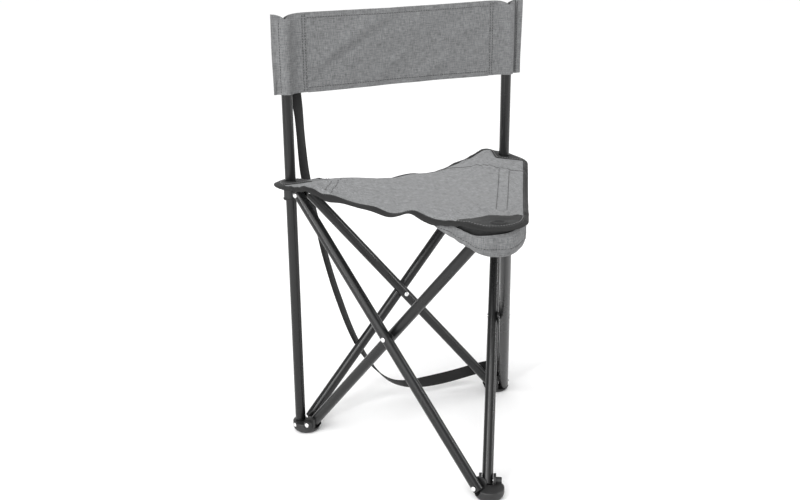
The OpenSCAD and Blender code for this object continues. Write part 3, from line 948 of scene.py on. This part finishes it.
def top_edge(x):
    """Height of the back's upper edge: it dips in a notch over each post."""
    notch = np.abs(np.abs(x) - SPREAD / 2)
    return BACK_HIGH - 9.5 * MM * np.exp(-notch / (9 * MM)) - 0.8 * MM * np.cos(x * 11)


def low_edge(x):
    return BACK_LOW + 0.9 * MM * np.sin(x * 17 + 1) * (np.abs(x) < SEAM_X)


# Soft folds of the back: x, z, direction in degrees, height, width and length in mm.
BACK_FOLDS = [(-75, 745, 31, 4.0, 14, 95), (-120, 700, 35, -2.8, 13, 70), (60, 672, 28, 3.4, 13, 85),
              (110, 700, 24, -2.4, 15, 75), (20, 750, 20, 2.0, 17, 110), (-30, 680, 40, 2.0, 12, 60),
              (130, 735, 30, 1.6, 12, 50)]


def back_wrinkle(x, z):
    """Soft diagonal folds in the panel, and small puckers along its seams."""
    total = sum(fold_height(x, z, *fold) for fold in BACK_FOLDS)
    pucker = np.sin(z * 520 + 3 * x) * np.exp(-((SEAM_X - np.abs(x)) / (14 * MM)) ** 2)
    return total * smooth_step(SEAM_X - np.abs(x), 0, 30 * MM) + 0.35 * MM * pucker


def make_back_panel():
    x = np.linspace(-SEAM_X - 1 * MM, SEAM_X + 1 * MM, 150)[:, None]
    v = np.linspace(0, 1, 56)[None, :]
    low, high = low_edge(x), top_edge(x)
    z = low + (high - low) * v
    y = POST_Y - back_wrinkle(x, z)
    grid = layered(x, y, z)
    piece = cloth("back_cloth", grid, 2.4 * MM, grid[..., [0, 2]], "back")
    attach(piece, "rear_left_leg")
    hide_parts("back_panel")
    hems = []
    for edge, sign in ((low_edge, 1), (top_edge, -1)):
        for face in (-1, 1):
            line_x = np.linspace(-SEAM_X + 2 * MM, SEAM_X - 2 * MM, 120)
            line_z = edge(line_x) + sign * 9 * MM
            line_y = POST_Y - back_wrinkle(line_x, line_z) + face * 1.35 * MM
            hems += stitch_row(np.stack([line_x, line_y, line_z], -1), np.array([0, face, 0.0]))
    sewn = sew("stitches_back_hems", hems)
    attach(sewn, "rear_left_leg")
    for part in (piece, sewn):
        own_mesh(part)


def make_sleeve(side):
    """The back's cloth round one post: a flange, the bulge of the post, and a flat to the seam."""
    centre = side * SPREAD / 2
    outer, inner = BACK_END - SPREAD / 2 + (2.5 if side > 0 else -4.5) * MM, SPREAD / 2 - SEAM_X
    front = np.concatenate([np.linspace(-outer, -13 * MM, 14), np.linspace(-11 * MM, 11 * MM, 17),
                            np.linspace(13 * MM, inner, 9)])
    local = np.concatenate([front, front[::-1]])
    face = np.concatenate([-np.ones(len(front)), np.ones(len(front))])
    v = np.linspace(0, 1, 44)
    x = (centre - side * local)[:, None] + 0 * v
    low, high = low_edge(x), top_edge(x)
    z = low + (high - low) * v[None, :]
    half = 1.1 * MM

    def post_bulge(place):
        """How far the post pushes each face out, at a distance across from it."""
        return (POST_R + 1.3 * MM) * np.exp(-np.abs(place / (11.2 * MM)) ** 2.2)

    def sway(place, height):
        """How far both faces move together: waves beside the post and a curl of the free edge."""
        wave = 0.5 * MM * np.sin(height * 75 + 2 * side) * hump(np.abs(place), 20 * MM, 9 * MM)
        curl = 1.8 * MM * np.sin((height - BACK_LOW) * 30 + side)
        return wave + curl * smooth_step(-place, 16 * MM, outer)

    bulge = post_bulge(local[:, None]) * (1 - 0.72 * smooth_step(z, CLOSING_Z, BACK_HIGH - 3 * MM))
    groove = (4.5 * MM if side > 0 else 0.8 * MM) * hump(local[:, None], -16.5 * MM, 2.4 * MM)
    y = POST_Y + face[:, None] * (half + bulge) + sway(local[:, None], z) + groove
    grid = np.stack([x, y, z], -1)
    weave = layered(along(grid[:, 0])[:, None], z)
    name = "left" if side < 0 else "right"
    leg = f"rear_{name}_leg"
    piece = cloth(f"back_{name}_sleeve_cloth", grid, 1.0 * MM, weave, "back", wrap=True)
    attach(piece, leg)
    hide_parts(f"back_{name}_sleeve")
    rows = []
    z_line = np.linspace(BACK_LOW + 2 * MM, BACK_HIGH - 3 * MM, 60)
    for place in (-outer + 11 * MM, inner - 1.5 * MM, inner - 6.5 * MM):
        for face_side in (-1, 1):
            line_x = np.full(60, centre - side * place)
            line_z = np.minimum(z_line, top_edge(line_x) - 1 * MM)
            lift = half + 0.75 * MM + post_bulge(place)
            line_y = POST_Y + face_side * lift + sway(place, line_z)
            rows += stitch_row(np.stack([line_x, line_y, line_z], -1),
                               np.array([0, face_side, 0.0]))
    sewn = sew(f"stitches_back_{name}_sleeve", rows)
    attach(sewn, leg)


# ---- strap ----

# The strap's route: x, distance behind the posts, height, and the turn of its width, in mm
# and degrees.
STRAP = [
    (-200, 15, 690, 0), (-197, 16, 668, -6), (-193, 19, 642, -20), (-187, 25, 612, -32),
    (-182, 34, 575, -36), (-176, 46, 535, -34), (-170, 54, 492, -32), (-164, 54, 457, -36),
    (-158, 48, 415, -44), (-151, 40, 380, -50), (-145, 36, 345, -50), (-136, 34, 305, -50),
    (-126, 32, 265, -50), (-114, 31, 225, -50), (-102, 31, 188, -52), (-88, 31, 152, -56),
    (-72, 31, 120, -64), (-52, 31, 88, -78), (-30, 31, 61, -98), (-4, 31, 42, -124),
    (26, 30, 32, -150), (58, 29, 29, -170), (92, 28, 29, -180), (126, 27, 31, -180),
    (160, 25, 35, -180), (188, 21, 39, -180), (202, 17, 41, -180),
]
STRAP_SECTION = [(12.5, 0.35), (11.8, 0.8), (0, 0.8), (-11.8, 0.8), (-12.5, 0.35), (-12.5, -0.35),
                 (-11.8, -0.8), (0, -0.8), (11.8, -0.8), (12.5, -0.35)]


def make_strap():
    route = np.array(STRAP, float)
    count = len(route)
    fine = np.linspace(0, count - 1, (count - 1) * 5 + 1)
    x, back, z, turn = (through(np.column_stack([np.arange(count), route[:, k]]), fine)
                        for k in range(4))
    line = np.stack([x * MM, POST_Y + back * MM, z * MM], -1)
    way = unit(np.gradient(line, axis=0))
    across = unit(np.cross([0, 1.0, 0], way))
    out = np.cross(way, across)
    turn = np.radians(turn)[:, None]
    side = np.cos(turn) * across + np.sin(turn) * out
    up = np.cross(way, side)
    piece = sweep("carry_strap_webbing", line, side, up, np.array(STRAP_SECTION) * MM, "strap")
    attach(piece, "rear_left_leg")
    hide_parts("carry_strap")
    rows = []
    for face in (-1, 1):
        for edge in (-8.5 * MM, 8.5 * MM):
            rows += stitch_row((line + side * edge + up * face * 0.85 * MM)[:9], (up * face)[:9])
        for k in (1, 8):
            ends = np.stack([line[k] + side[k] * e + up[k] * face * 0.85 * MM
                             for e in (-9 * MM, 9 * MM)])
            rows += stitch_row(ends, up[k] * face)
    sewn = sew("stitches_strap_top", rows)
    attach(sewn, "rear_left_leg")
    for part in (piece, sewn):
        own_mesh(part)


def make_strap_loop():
    """The strap's lower end, sewn back on itself round the rear right post."""
    low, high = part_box("strap_lower_loop")
    r = POST_R + 1.1 * MM
    neck = np.array([-10 * MM, 16 * MM])
    reach = np.linalg.norm(neck)
    lean = math.atan2(neck[1], neck[0])
    open_half = math.acos(r / reach) * 0.92
    turns = np.linspace(lean + open_half, lean + 2 * math.pi - open_half, 40)
    ring = np.stack([r * np.cos(turns), r * np.sin(turns)], -1)
    way_out = unit(neck)
    side = np.array([-way_out[1], way_out[0]])
    lip = [neck + side * 0.9 * MM, neck + way_out * 1.0 * MM, neck - side * 0.9 * MM]
    plan = np.concatenate([ring, [0.5 * (ring[-1] + lip[2])], [lip[2], lip[1], lip[0]],
                           [0.5 * (ring[0] + lip[0])]])
    plan = plan + RIGHT_POST
    v = np.linspace(0, 1, 6)
    z = float(low.z) + (float(high.z) - float(low.z)) * v
    grid = layered(plan[:, :1], plan[:, 1:], z)
    length = along(grid[:, 0])
    weave = layered(length[:, None], z)
    piece = cloth("strap_loop_webbing", grid, 1.4 * MM, weave, "strap", wrap=True)
    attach(piece, "rear_right_leg")
    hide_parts("strap_lower_loop")


# ---- the whole ----

add_camera()
make_strap()
add_studio()
dress_cad_nodes()
sew_seat(make_seat())
for corner_name in ORDER:
    make_patch(corner_name)
make_pocket()
make_back_panel()
for which in (-1, 1):
    make_sleeve(which)
make_strap_loop()
